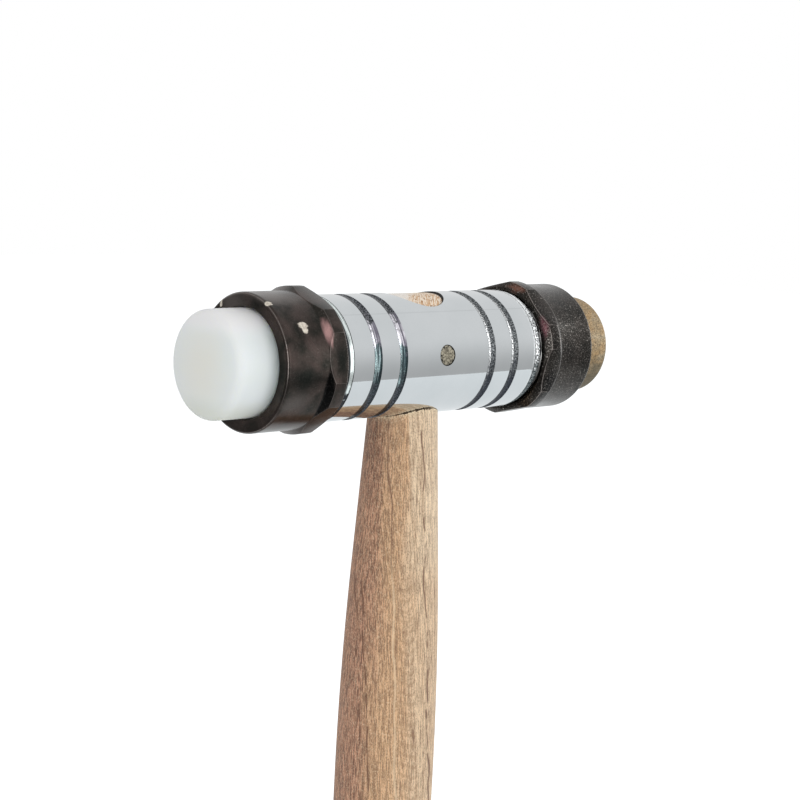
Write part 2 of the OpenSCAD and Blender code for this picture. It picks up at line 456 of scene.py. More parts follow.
class Finish(Nodes):
    """A Principled shader and the nodes that feed it, with places and sizes in millimetres."""

    def __init__(self, name):
        self.material = bpy.data.materials.new(name)
        self.material.use_nodes = True
        super().__init__(self.material.node_tree)
        metres = self.add("ShaderNodeTexCoord", "Object")
        self.place = self.add("ShaderNodeVectorMath", "Vector", metres, operation="SCALE", Scale=1 / MM)

    def set(self, **values):
        shader = self.tree.nodes["Principled BSDF"]
        for key, value in values.items():
            self.put(shader.inputs[key.replace("_", " ")], value)

    def sized(self, size, place=None, centre=(0, 0, 0)):
        """Coordinates about a centre in which one unit is the given size, one way or each way."""
        sizes = np.broadcast_to(size, 3)
        scale = [1 / s for s in sizes]
        shift = [-c / s for c, s in zip(centre, sizes)]
        return self.add("ShaderNodeMapping", "Vector", place or self.place, Location=shift, Scale=scale)

    def noise(self, size, detail=3.0, rough=0.5, bend=0.0, place=None):
        return self.add("ShaderNodeTexNoise", "Fac", self.sized(size, place), Scale=1.0,
                        Detail=detail, Roughness=rough, Distortion=bend)

    def specks(self, size, reach):
        """Dots of uneven strength, about a size apart, with a reach in shares of it."""
        away, strength = [self.add("ShaderNodeTexVoronoi", out, self.sized(size), Scale=1.0)
                          for out in ("Distance", "Color")]
        return away.step(reach * 0.4, reach, 1.0, 0.0) * strength.axis(0).maths("POWER", 2.0)

    def patch(self, centre, size, fray, soft):
        """1 inside an uneven patch about a place, and 0 outside it, with a soft edge."""
        edge = self.noise([s * 0.8 for s in size]).spread(-fray, fray)
        away = self.sized(size, centre=centre).length() + edge
        return away.step(1.0 - soft, 1.0, 1.0, 0.0)

    def above(self, low, high, wander=0.0):
        """0 under a height over the barrel's axis, and 1 over another, along a wandering line."""
        drift = self.noise(1.5, detail=2).spread(-wander, wander)
        return (self.place.axis(2) + drift).step(AXIS_Z + low, AXIS_Z + high)

    def below_head(self, far, near, to_low=0.0, to_high=1.0):
        """A value that changes over a stretch of the handle, given in depths under the barrel."""
        return self.place.axis(2).step(NECK_TOP_Z - far, NECK_TOP_Z - near, to_low, to_high)

    def bump(self, height, depth):
        self.set(Normal=self.add("ShaderNodeBump", "Normal", Height=height, Distance=depth * MM,
                                 Strength=1.0))

    def wear_and_glint(self):
        return self.add("ShaderNodeAttribute", "Fac", attribute_name="wear_and_glint")

    def grain(self):
        """Coordinates that lean with the wood's grain, and the leaning and level ways across it."""
        x, y, z = self.place.split()
        across = x * SAP_AND_LIT_SIDE[0] + y * SAP_AND_LIT_SIDE[1]
        square = y * SAP_AND_LIT_SIDE[0] - x * SAP_AND_LIT_SIDE[1]
        leaned = across + (z - AXIS_Z) * GRAIN_LEAN
        return self.vector(leaned, square, z), leaned, across

    def round_barrel(self):
        """Coordinates along the barrel and round it."""
        x, y, z = self.place.split()
        return self.vector(x, y.maths("ARCTAN2", z - AXIS_Z) * BARREL_R)


def chrome():
    made = Finish("chrome")
    smudge = made.noise(9, detail=4)
    tint = smudge.shade(0.3, 0.7, (0.595, 0.625, 0.64), (0.625, 0.652, 0.667))
    made.set(Metallic=1.0, Base_Color=tint, Roughness=smudge.step(0.35, 0.7, 0.03, 0.075))
    return made.material


def worn_groove_painted_glint():
    """Groove of the nylon end: painted highlights of bright strands at the front, white and blue-green,
    and dark above and below.
    """
    made = Finish("worn_groove_painted_glint")
    around = made.round_barrel()
    ticks = made.noise((0.5, 0.3, 1), detail=2, rough=0.6, place=around)
    strands = made.noise((0.3, 9, 1), detail=2, place=around)
    pepper = ticks.step(0.44, 0.64)
    shine = strands + made.wear_and_glint().step(0.0, 1.0, -0.1, 0.1)
    slate = pepper.mix((0.026, 0.032, 0.037), (0.10, 0.11, 0.13))
    teal_glint = shine.shade(0.44, 0.62, (0.035, 0.055, 0.062), (0.42, 0.56, 0.57))
    white_glint = shine.shade(0.36, 0.62, (0.18, 0.17, 0.21), (0.92, 0.90, 0.96))
    charcoal = pepper.mix((0.022, 0.025, 0.028), (0.20, 0.21, 0.23))
    # Painted highlights by height: blue-green from just under the middle, white above it, charcoal at
    # the top
    base = made.above(-7, -1, 2).mix(slate, teal_glint)
    base = made.above(2, 6, 2).mix(base, white_glint)
    base = made.above(7.5, 11.5, 2).mix(base, charcoal)
    made.set(Metallic=1.0, Base_Color=base, Roughness=strands.spread(0.3, 0.18))
    made.bump(ticks, 0.04)
    return made.material


def rough_groove():
    """Groove of the brass end: speckled dark metal with a bright burred lip that is also a painted
    glint, plainer and darker below.
    """
    made = Finish("rough_groove")
    around = made.round_barrel()
    ticks = made.noise((0.42, 0.32, 1), detail=2, rough=0.65, place=around)
    slate = ticks.shade(0.4, 0.7, (0.030, 0.034, 0.042), (0.085, 0.092, 0.115))
    pepper = ticks.shade(0.42, 0.66, (0.030, 0.034, 0.038), (0.32, 0.34, 0.35))
    base = made.above(-8, 1, 2).mix(slate, pepper)
    # The burred lip, painted bright only above the middle, as a painted glint
    burr_glint = made.wear_and_glint().step(0.35, 0.8) * ticks.step(0.42, 0.54) * made.above(-6, 0, 2)
    base = burr_glint.mix(base, (0.95, 0.97, 0.98))
    made.set(Metallic=1.0, Base_Color=base, Roughness=ticks.spread(0.42, 0.3))
    made.bump(ticks, 0.06)
    return made.material


COLLAR_SHADOW_L = 1.2
COLLAR_SHADOW_FULL_L = 0.85


def worn_bevel():
    """Bright turned band at the nylon end, with painted shadow of the collar towards it, and darker
    below.
    """
    made = Finish("worn_bevel")
    around = made.round_barrel()
    lines = made.noise((0.22, 8, 1), detail=2, rough=0.6, place=around)
    pits = made.noise((0.42, 0.42, 1), detail=2, rough=0.6, place=around)
    base = lines.shade(0.36, 0.5, (0.16, 0.19, 0.19), (0.82, 0.89, 0.88))
    # Darker below, and painted shadow of the collar at the end beside it
    upper_band = made.above(-7, -4.5, 2) * pits.step(0.3, 0.5, 0.7, 1.0)
    darkened = abs(made.place.axis(0)).step(SHOULDER_X - COLLAR_SHADOW_L, SHOULDER_X - COLLAR_SHADOW_FULL_L)
    base = darkened.most(upper_band.rest()).mix(base, (0.035, 0.038, 0.042))
    made.set(Metallic=1.0, Base_Color=base, Roughness=lines.spread(0.25, 0.12))
    return made.material


PITTED_FULL_L = 0.4
STEP_SLOPE = 0.45
PIT_DEPTH = 0.12


def pitted_bevel():
    """Pale eaten band at the brass end, with dark pits that thin out over the chrome beside it."""
    made = Finish("pitted_bevel")
    pits = made.noise((0.5, 0.42, 1), detail=2, rough=0.65, place=made.round_barrel())
    along = made.place.axis(0)
    worn = along.step(BEVEL_X - PITTED_L, BEVEL_X + PITTED_FULL_L)
    base = worn.mix((0.61, 0.64, 0.655), (0.95, 0.98, 0.99))
    deep = pits + worn * made.above(13, 4, 3) * 0.1
    base = (deep.step(0.585, 0.625) * worn).mix(base, (0.012, 0.014, 0.016))
    # Darker towards the bottom
    darkened = made.above(0, -5, 2) * worn.step(0.3, 0.9, 0.0, 0.9) * pits.step(0.34, 0.42, 0.35, 1.0)
    base = darkened.mix(base, (0.055, 0.075, 0.08))
    made.set(Metallic=1.0, Base_Color=base, Roughness=worn.step(0.0, 0.7, 0.06, 0.3))
    # The eaten metal is stepped, and its steps look away from the collar
    made.bump(along.most(BEVEL_X) * (STEP_SLOPE / PIT_DEPTH) + pits * worn, PIT_DEPTH)
    return made.material


def score_shade():
    """Painted shade in the fine lines scored round the barrel's ends, and on the shoulder's face at the
    brass end.
    """
    made = Finish("score_shade")
    shade_mottle = made.noise(0.8)
    base = shade_mottle.shade(0.35, 0.65, (0.015, 0.016, 0.018), (0.10, 0.105, 0.11))
    made.set(Metallic=1.0, Base_Color=base, Roughness=shade_mottle.spread(0.35, 0.6))
    return made.material


def thread_steel():
    made = Finish("thread_steel")
    lines = made.noise((0.12, 3, 1), place=made.round_barrel())
    base = made.noise(4).mix((0.30, 0.30, 0.30), (0.48, 0.48, 0.47))
    made.set(Metallic=1.0, Base_Color=base, Roughness=lines.spread(0.22, 0.42))
    made.bump(lines, 0.015)
    return made.material


def recess_shade(name, size, dark, light, smoothest, roughest):
    """Uneven dark colour, painted shade in a recess that hardly shows."""
    made = Finish(name)
    shade_mottle = made.noise(size)
    made.set(Base_Color=shade_mottle.mix(dark, light), Roughness=shade_mottle.spread(smoothest, roughest))
    return made.material


def patina(name, dark, brown, speckle_share, edge_share, tinted_patches, chips=()):
    """Oiled black oxide: brown clouds, patches of colour, some of them painted reflections and shade,
    pale specks, worn edges and bare chips.
    """
    made = Finish(name)
    clouds = made.noise(6, detail=4, bend=0.4)
    fine = made.noise(0.9, detail=4, rough=0.6)
    grit = made.noise(0.3, detail=1, rough=0.6)
    base = clouds.shade(0.3, 0.7, dark, brown)
    base = fine.shade(0.45, 0.75, base, (0.085, 0.072, 0.064), 0.3)
    for colour, centre, size, soft in tinted_patches:
        base = made.patch(centre, size, 0.15, soft).mix(base, colour)
    base = grit.shade(0.55, 0.75, base, (0.21, 0.195, 0.18), speckle_share)
    base = grit.shade(0.44, 0.32, base, (0.010, 0.009, 0.008), speckle_share)
    base = (made.specks(1.15, 0.18) * speckle_share).mix(base, (0.42, 0.39, 0.36))
    base = (made.wear_and_glint() * fine.step(0.25, 0.5, 0.0, edge_share)).mix(base, (0.36, 0.32, 0.30))
    rough = clouds.spread(0.20, 0.28)
    metal = 1.0
    for centre, size in chips:
        bare = made.patch(centre, size, 0.14, 0.35)
        base = bare.mix(base, fine.shade(0.45, 0.6, (0.80, 0.74, 0.63), (0.58, 0.52, 0.44)))
        rough = rough.most(bare * 0.6)
        metal = bare.rest().least(metal)
    made.set(Base_Color=base, Roughness=rough, Metallic=metal)
    made.bump(fine, 0.008)
    return made.material


COLLAR_SHADE_L = 3.5
COLLAR_SHADE_FULL_L = 0.3
MILK_DEPTH = 6.0


def nylon():
    made = Finish("nylon")
    scuff = made.noise(0.5, detail=4)
    side = made.noise(7, detail=2).mix((0.82, 0.87, 0.872), (0.85, 0.90, 0.902))
    front = made.patch((-FACE_END, 1.0, AXIS_Z - 1.0), (9, 16, 17), 0.1, 0.95)
    base = front.mix(side, (0.865, 0.87, 0.822))
    # Painted shade, greyer where the dark collar shows through, a painted highlight above and greener
    # painted shade below
    past_collar = abs(made.place.axis(0)) - COLLAR_FRONT
    base = past_collar.shade(COLLAR_SHADE_L, COLLAR_SHADE_FULL_L, base, (0.62, 0.69, 0.66), 0.6)
    base = made.above(5, 12).shade(0.0, 1.0, base, (0.95, 0.985, 1.0), 0.9)
    base = made.above(-6, -12).mix(base, (0.74, 0.77, 0.71))
    made.set(Base_Color=base, Roughness=scuff.spread(0.36, 0.48), Subsurface_Weight=1.0,
             Subsurface_Scale=MILK_DEPTH * MM, Subsurface_Radius=(1.0, 1.0, 0.9))
    made.bump(scuff, 0.006)
    return made.material


def dull_brass():
    """Matt tan metal with orange and olive tarnish, a fine dark grain and painted shade towards the
    bottom.
    """
    made = Finish("dull_brass")
    grains = made.noise(0.34, detail=2, rough=0.6)
    tarnish = made.noise(4, detail=4, rough=0.6)
    base = tarnish.shade(0.38, 0.62, (0.33, 0.245, 0.135), (0.48, 0.305, 0.135))
    base = made.noise((6, 3, 3)).shade(0.46, 0.66, base, (0.40, 0.335, 0.225), 0.85)
    base = grains.shade(0.54, 0.36, base, (0.66, 0.47, 0.25), 0.4)
    base = grains.shade(0.46, 0.64, base, (0.13, 0.085, 0.042), 0.75)
    # Painted shade, darker towards the bottom
    base = made.above(-11, 5, 2).shade(1.0, 0.0, base, (0.09, 0.07, 0.034), 0.9)
    made.set(Metallic=0.3, Base_Color=base, Roughness=grains.spread(0.45, 0.62))
    made.bump(grains, 0.02)
    return made.material


def pin_brass():
    """Filed end of the pin: mottled olive grey inside an uneven dark rim."""
    made = Finish("pin_brass")
    mottle = made.noise(0.65, rough=0.65)
    place = made.sized(PIN_R, centre=(PIN_X, 0, PIN_Z))
    away = made.vector(place.axis(0), 0.0, place.axis(2)).length() + mottle.spread(-0.22, 0.22)
    base = mottle.shade(0.38, 0.62, (0.37, 0.34, 0.258), (0.11, 0.096, 0.068))
    base = away.shade(0.76, 1.0, base, (0.035, 0.032, 0.024))
    made.set(Metallic=0.6, Base_Color=base, Roughness=mottle.spread(0.35, 0.55))
    made.bump(mottle, 0.04)
    return made.material


# Wood, with places across the handle from the heart side, also in painted shade, to the sap side, also
# painted lighter
SAP_AND_LIT_SIDE = (0.72, -0.69)
GRAIN_LEAN = 0.072
SWAY = 2.0
SHADED_HEART_END = -9.0
SAP_EDGE = (0.0, 0.8)
SAP_AND_LIT_FADE = (1.0, 8.0)
PORES_FADE = (2.0, 7.0)
LONG_VEIN = -4.46
DARK_VEINS = (3.6, -11.6, -13.4)
VEIN_W = 0.34
PALE_VEIN = (0.1, 0.4)
VEIN_WANDER = 0.5
FIGURE_PLACE = -1.45
FIGURE_W = 2.45
FIGURE_FULL_W = FIGURE_W * 0.7
FIGURE_STEP = 2.7
FIGURE_BOW = 0.25
WOOD_DARK = (0.17, 0.08, 0.045)


def beech():
    """Straight grain up the handle: a pink heart side in painted shade, a pale sap side painted
    lighter, pores and veins.
    """
    made = Finish("beech")
    grain, leaned, across = made.grain()
    sway = made.noise((4, 4, 45), rough=0.55, place=grain)
    side = across + sway.step(0.25, 0.75, -SWAY, SWAY)
    fibres = made.noise((0.3, 0.3, 4.5), detail=2, rough=0.6, place=grain).step(0.38, 0.62)
    streaks = made.noise((0.8, 0.8, 30), rough=0.6, place=grain)
    dashes = made.noise((0.22, 0.22, 0.45), detail=1, rough=0.6, place=grain)
    pores = made.noise((0.36, 0.36, 6), detail=1, place=grain).step(0.63, 0.7)
    lower = made.below_head(30, 45)
    heart = fibres.mix((0.24, 0.122, 0.078), (0.75, 0.405, 0.262))
    gold = fibres.mix((0.40, 0.235, 0.125), (0.84, 0.53, 0.30))
    pale = fibres.mix((0.58, 0.43, 0.285), (0.97, 0.77, 0.54))
    dark = fibres.mix((0.085, 0.04, 0.022), (0.255, 0.12, 0.068))
    # From heart to sap across the handle, which is also painted shade on one side and painted light on
    # the other
    base = side.shade(SHADED_HEART_END, 0.0, heart, gold)
    # Close under the head the sapwood has a plain edge
    edged = leaned.step(*SAP_EDGE, 0.0, 0.85) * made.below_head(36, 20)
    faded = side.step(*SAP_AND_LIT_FADE) * lower.step(0.0, 1.0, 1.0, 0.65)
    base = edged.most(faded).mix(base, pale)
    # Painted shade: darker far side, most of all close under the head
    base = (made.below_head(25, 3, 0.15, 0.55) * side.step(0.0, SHADED_HEART_END)).mix(base, dark)
    base = streaks.shade(0.5, 0.68, base, (0.33, 0.175, 0.095), 0.4)
    base = dashes.shade(0.54, 0.68, base, (0.95, 0.74, 0.50), 0.45)
    base = dashes.shade(0.46, 0.32, base, (0.20, 0.10, 0.055), 0.55)
    base = (pores * abs(across).step(*PORES_FADE, 0.25, 0.75)).mix(base, WOOD_DARK)
    base = veined(made, base, leaned, lower)
    base = figured(made, base, leaned, sway, lower)
    base = (made.wear_and_glint() * dashes.step(0.38, 0.55)).mix(base, (0.90, 0.74, 0.50))
    made.set(Base_Color=base, Roughness=fibres.step(0.0, 1.0, 0.55, 0.7))
    made.bump(fibres, 0.04)
    return made.material


def veined(made, base, leaned, lower):
    """One long vein, dark under the head and pale on the grip, and broken dark veins beside it."""
    wander = made.noise((9, 9, 14), detail=2).step(0.25, 0.75, -VEIN_WANDER, VEIN_WANDER)
    broken = made.noise((3, 3, 5), detail=2).step(0.42, 0.54)
    drifted = leaned + wander
    long_vein = drifted.off(LONG_VEIN)
    dark = long_vein.step(0.0, VEIN_W, 0.6, 0.0) * lower.step(1.0, 0.0)
    for place in DARK_VEINS:
        line = drifted.off(place).step(0.0, VEIN_W, 0.95, 0.0) * broken
        # On the heart side they show only below the neck
        dark = dark.most(line * lower if place < 0 else line)
    base = dark.mix(base, WOOD_DARK)
    return (long_vein.step(*PALE_VEIN, 0.5, 0.0) * lower).mix(base, (0.92, 0.70, 0.46))


def figured(made, base, leaned, sway, lower):
    """A faint figure of stacked arcs beside the pale vein."""
    off_middle = leaned.off(FIGURE_PLACE)
    height = made.place.axis(2) - off_middle * off_middle * FIGURE_BOW
    phase = height * (2 * math.pi / FIGURE_STEP) + sway.step(0.25, 0.75, -2.5, 2.5)
    inside = off_middle.step(FIGURE_FULL_W, FIGURE_W, 1.0, 0.0)
    arcs = phase.maths("SINE").step(0.1, 1.0, 0.0, 0.34) * inside
    return (arcs * lower).mix(base, (0.36, 0.20, 0.105))


TICKS_PLACE = 5.4
TICKS_EDGES = (2.6, 5.6)
TICKS_FADE = (0.5, -4.0)


def end_grain():
    """Cut end of the tenon: dark ticks over its middle, and paler towards its tips."""
    made = Finish("end_grain")
    grain, leaned = made.grain()[:2]
    ticks = made.noise((0.26, 3.0, 9), detail=1, rough=0.6, place=grain)
    dots = made.noise((0.3, 1.5, 9), detail=1, place=grain)
    middle = leaned.off(TICKS_PLACE).step(*TICKS_EDGES, 1.0, 0.1)
    ticked = middle * made.place.axis(1).step(*TICKS_FADE, 0.2, 0.95)
    base = middle.mix((1.0, 0.95, 0.89), (1.0, 0.86, 0.70))
    base = (ticks.step(0.46, 0.6) * ticked).mix(base, (0.72, 0.46, 0.26))
    base = (dots.step(0.57, 0.65, 0.0, 0.9) * ticked).mix(base, (0.42, 0.22, 0.10))
    made.set(Base_Color=base, Roughness=dots.spread(0.6, 0.8))
    made.bump(ticks, 0.06)
    return made.material


# Threads

def thread_height(x, turns, datum, first, last):
    """Height of a right-hand ridge over its wall, at places along the neck."""
    lead = turns / (2 * math.pi) + THREAD_START
    turn = lead + np.round((x - datum) / THREAD_PITCH - lead)
    away = np.abs(x - datum - THREAD_PITCH * turn)
    height = (THREAD_CREST_W / 2 - away) / THREAD_FLANK + THREAD_DEPTH
    here = datum + THREAD_PITCH * turn
    from_end = np.minimum(here - first, last - here) / THREAD_PITCH
    fade = np.clip(from_end / THREAD_FADE, 0, 1)
    return np.clip(height, 0, THREAD_DEPTH) * fade


def neck_ridge(x, turns):
    first = SHOULDER_X + RELIEF_L + THREAD_FOOT_W / 2
    last = NECK_END - NECK_CHAMFER - THREAD_FOOT_W / 2
    return thread_height(x, turns, SHOULDER_X, first, last)


def collar_ridge(x, turns):
    first = COLLAR_BACK + COLLAR_LEAD + THREAD_FOOT_W / 2
    last = NECK_END - THREAD_FOOT_W / 2
    return thread_height(x, turns, SHOULDER_X + THREAD_PITCH / 2, first, last)


# Barrel

CHROME, LEFT_GROOVE, RIGHT_GROOVE, LEFT_BEVEL, RIGHT_BEVEL, SCORE, THREAD, EYE = range(8)


def barrel_materials():
    # Painted shade on the wall of the eye
    eye_wall_shade = recess_shade("eye_wall_shade", 1.5, (0.012, 0.010, 0.009), (0.05, 0.04, 0.032), 0.5, 0.75)
    return [chrome(), worn_groove_painted_glint(), rough_groove(), worn_bevel(), pitted_bevel(),
            score_shade(), thread_steel(), eye_wall_shade]


def groove_corners(middle):
    """Hollow of a groove, as points from edge to edge."""
    shares = np.linspace(-1, 1, GROOVE_POINTS)
    depths = GROOVE_DEPTH * (1 - np.abs(shares) ** GROOVE_HOLLOW)
    return [(middle + GROOVE_W / 2 * share, BARREL_R - depth, 0)
            for share, depth in zip(shares, depths)]


def groove_at(x):
    """Middle of the groove about a place, and the place's share across it from -1 to 1."""
    for middle in GROOVE_MIDDLES:
        share = (abs(x) - middle) / (GROOVE_W / 2)
        if abs(share) < 1:
            return (middle, share) if x > 0 else (-middle, -share)
    return None, None


def bevel_radius(along):
    return BARREL_R - BEVEL_DROP * along / BEVEL_L


def bevel_corners():
    """Bevel with two fine scored lines, and points between them for its grit."""
    corners = []
    for start in SCORE_STARTS:
        for along, depth in ((start, 0), (start + SCORE_W / 2, SCORE_DEPTH), (start + SCORE_W, 0)):
            corners.append((BEVEL_X + along, bevel_radius(along) - depth, 0))
        if start < SCORE_STARTS[-1]:
            for along in spaced(start + SCORE_W, SCORE_STARTS[-1], GRIT_STEP)[1:-1]:
                corners.append((BEVEL_X + along, bevel_radius(along), 0))
    return corners


def barrel_outline():
    """Outline of the barrel's right half, from its middle to its shoulder."""
    corners = [(0, BARREL_R, 0)]
    for middle in GROOVE_MIDDLES:
        corners += groove_corners(middle)
    corners.append((BEVEL_X - PITTED_L, BARREL_R, 0))
    corners += bevel_corners()
    corners.append((SHOULDER_X, BARREL_R - BEVEL_DROP, SHOULDER_ROUND))
    corners.append((SHOULDER_X, NECK_R, 0))
    return rounded(corners)[:-1]


def barrel_slot(x, r):
    """Material of the band about a place on the outline."""
    along = abs(x) - BEVEL_X
    if along > 0:
        # The score lines take painted shade, all but the second one at the nylon end
        near_black = x > 0 or along < SCORE_STARTS[-1]
        if near_black and r < bevel_radius(along) - SCORE_DEPTH / 4:
            return SCORE
        return LEFT_BEVEL if x < 0 else RIGHT_BEVEL
    if groove_at(x)[0]:
        return LEFT_GROOVE if x < 0 else RIGHT_GROOVE
    return RIGHT_BEVEL if x > BEVEL_X - PITTED_L else CHROME


def neck_rings():
    """Rings of the right-hand neck, from the shoulder to its end."""
    turns = even_turns(NECK_STEPS)
    rings = [(x, NECK_R + neck_ridge(x, turns))
             for x in spaced(SHOULDER_X, NECK_END - NECK_CHAMFER, THREAD_RING_STEP)]
    rings.append((NECK_END, NECK_R - NECK_CHAMFER))
    return turns, rings


def barrel():
    rng = np.random.default_rng(SEED)
    skin = Skin()
    neck_turns, neck = neck_rings()
    half_turned = math.pi - neck_turns
    for x, r in reversed(neck):
        skin.ring(about_x(-x, r, half_turned), THREAD)
    outline = barrel_outline()
    whole = [(-x, r) for x, r in reversed(outline)] + [(x, r) for x, r in outline[1:]]
    turns = math.pi - even_turns(BARREL_STEPS)
    chatter = {}
    before = (-SHOULDER_X, NECK_R)
    for x, r in whole:
        radius = np.full(BARREL_STEPS, r)
        wear_and_glint = 0.0
        groove, share = groove_at(x)
        if groove:
            if groove not in chatter:
                chatter[groove] = CHATTER * rng.random(BARREL_STEPS)
            radius = radius - chatter[groove] * (1 - share ** 2)
            # One lip of a groove is burred, and also takes a painted glint
            wear_and_glint = float(np.clip(BURR_GLINT_MIDDLE - BURR_GLINT_FALL * share, 0, 1))
        elif BEVEL_X + SCORE_W < abs(x) < SHOULDER_X:
            radius = radius - (LEFT_GRIT if x < 0 else RIGHT_GRIT) * rng.random(BARREL_STEPS)
        slot = barrel_slot((x + before[0]) / 2, (r + before[1]) / 2)
        skin.ring(about_x(x, radius, turns), slot, wear_and_glint)
        before = (x, r)
    # The shoulder's face at the brass end takes the score lines' painted shade
    for number, (x, r) in enumerate(neck):
        skin.ring(about_x(x, r, half_turned), THREAD if number else SCORE)
    skin.cap(0, THREAD)
    skin.cap(-1, THREAD)
    return skin.piece("chrome_barrel", barrel_materials(), BARREL_SHARP)


def rod(name, r, middle, upright, steps, material):
    """A plain round cutter right through the barrel, along Z or along Y."""
    turns = even_turns(steps)
    skin = Skin()
    for end in (-BARREL_R - CUT_OVERRUN, BARREL_R + CUT_OVERRUN):
        flat = np.stack([r * np.cos(turns), r * np.sin(turns), np.full(steps, end)], 1)
        if not upright:
            flat = flat[:, [0, 2, 1]]
        skin.ring(flat + np.array(middle))
    skin.cap(0)
    skin.cap(-1)
    return skin.piece(name, [material])


def cut(piece, cutters):
    """Cuts round holes in a piece, and leaves the cutters' material on their walls."""
    for cutter in cutters:
        step = piece.modifiers.new(cutter.name, "BOOLEAN")
        step.operation = "DIFFERENCE"
        step.solver = "EXACT"
        step.material_mode = "TRANSFER"
        step.object = cutter
    graph = bpy.context.evaluated_depsgraph_get()
    mesh = bpy.data.meshes.new_from_object(piece.evaluated_get(graph))
    piece.modifiers.clear()
    piece.data = mesh


def polish(piece):
    """Gives the barrel's plain cylinder the normals of a true one."""
    mesh = piece.data
    smooth(mesh, BARREL_SHARP)
    places = np.array([v.co for v in mesh.vertices]) / MM
    away = places[:, 1:] - np.array((0, AXIS_Z))
    distance = np.linalg.norm(away, axis=1)
    outward = np.zeros((len(places), 3))
    outward[:, 1:] = away / np.maximum(distance, WALL_NEAR)[:, None]
    on_wall = np.abs(distance - BARREL_R) < WALL_NEAR
    normals = np.array([n.vector for n in mesh.corner_normals])
    for polygon in mesh.polygons:
        corners = list(polygon.vertices)
        if on_wall[corners].all():
            normals[list(polygon.loop_indices)] = outward[corners]
    mesh.normals_split_custom_set(normals.tolist())


def make_head():
    whole = barrel()
    wall = whole.data.materials[EYE]
    eye = rod("eye_cutter", EYE_R, (0, 0, AXIS_Z), True, EYE_STEPS, wall)
    hole = rod("pin_cutter", PIN_R + PIN_FIT, (PIN_X, 0, PIN_Z), False, PIN_STEPS, wall)
    cut(whole, [eye, hole])
    polish(whole)
    bpy.data.objects.remove(eye)
    return whole, hole


# Collars

def collar_turns(turn):
    """Angles round a collar, with columns close beside each edge of the hexagon's flats."""
    flat_half = math.degrees(math.acos(FLAT_R / CORNER_R))
    beside = math.degrees(EDGE_SOFT / CORNER_R)
    flat = np.linspace(-flat_half + beside, flat_half - beside, FLAT_COLUMNS)
    corner = np.linspace(flat_half + beside, SIXTH - flat_half - beside, CORNER_COLUMNS)
    one = np.concatenate([flat, [flat_half], corner, [SIXTH - flat_half]])
    edge = np.isin(np.arange(len(one)), [len(flat), len(one) - 1])
    turns = np.concatenate([one + SIXTH * k for k in range(6)])
    # A corner of the hexagon, not a flat, lies at the given turn from the barrel's underside
    offset = math.radians(turn + SIXTH / 2 - 90)
    return np.radians(turns), offset, np.tile(edge, 6)


def softened(rings, index):
    """Puts a narrow rounded edge in place of a sharp ring."""
    here = rings[index]
    before = rings[index - 1] - here
    after = rings[index + 1] - here
    first = here + before / np.linalg.norm(before, axis=1)[:, None] * EDGE_SOFT
    last = here + after / np.linalg.norm(after, axis=1)[:, None] * EDGE_SOFT
    return [first, here * 0.5 + (first + last) * 0.25, last]


# Rings of a collar with a sharp edge, how worn some of these are, and the ring along its rim, which
# also takes a painted highlight
SHARP_RINGS = (1, 2, 3, 4)
FLANGE_BACK_RING = 2
RING_WEAR = {FLANGE_BACK_RING: 0.9, 3: 0.6}
FLAT_EDGE_WEAR = 0.7
RIM_RING = 10


def collar_rings(columns):
    """Places along the barrel and radii of a collar's outside, from its back to its bore."""
    half = math.radians(SIXTH / 2)
    away = (columns + half) % (2 * half) - half
    reach = np.minimum(FLAT_R / np.cos(away), CORNER_R)
    drop = (reach - CORNER_R + BACK_CHAMFER_DROP) / BACK_CHAMFER_DROP
    back_x = COLLAR_BACK + BACK_CHAMFER_L * drop
    front_share = (CORNER_R - reach) / (CORNER_R - CAP_R)
    front_x = COLLAR_BACK + FLANGE_L - FRONT_CHAMFER_L * (1 - front_share)
    rim_x = COLLAR_FRONT - RIM_ROUND
    rings = [(COLLAR_BACK, NUT_ROOT_R + BORE_LEAD),
             (COLLAR_BACK, CORNER_R - BACK_CHAMFER_DROP),
             (back_x, reach),
             (front_x, reach),
             (COLLAR_BACK + FLANGE_L, CAP_R),
             (rim_x - RIM_HOLD, CAP_R)]
    rings += [(rim_x + RIM_ROUND * math.sin(a), CAP_R - RIM_ROUND + RIM_ROUND * math.cos(a))
              for a in np.linspace(0, math.pi / 2, RIM_POINTS)]
    rings += [(COLLAR_FRONT, LIP_R + LIP_CHAMFER),
              (COLLAR_FRONT - LIP_CHAMFER, LIP_R),
              (LIP_BACK, LIP_R),
              (LIP_BACK, NUT_ROOT_R)]
    return rings


def collar(name, turn, side, material):
    columns, offset, edge = collar_turns(turn)
    right_turns = columns + offset
    turns = math.pi - right_turns if side < 0 else right_turns
    places = [about_x(side * np.asarray(x), r, turns) for x, r in collar_rings(columns)]
    flat_edges = np.where(edge, FLAT_EDGE_WEAR, 0.0)
    skin = Skin()
    for number, place in enumerate(places):
        if number in SHARP_RINGS:
            first, middle, last = softened(places, number)
            skin.ring(first)
            skin.ring(middle, wear_and_glint=RING_WEAR.get(number, 0.0))
            skin.ring(last, wear_and_glint=flat_edges if number == FLANGE_BACK_RING else 0.0)
        else:
            # The rim's ring is worn, and also takes a painted highlight along the rim
            skin.ring(place, wear_and_glint=1.0 if number == RIM_RING else 0.0)
    for x in spaced(NECK_END + BORE_RELIEF, COLLAR_BACK + BORE_LEAD, THREAD_RING_STEP):
        height = collar_ridge(x, right_turns)
        skin.ring(about_x(side * x, NUT_ROOT_R - height, turns))
    skin.loop()
    return skin.piece(name, [material], COLLAR_SHARP)


def on_collar(x, r, rise):
    """A place on a collar, at an angle up from the front of the barrel."""
    angle = math.radians(rise)
    return (x, -r * math.cos(angle), AXIS_Z + r * math.sin(angle))


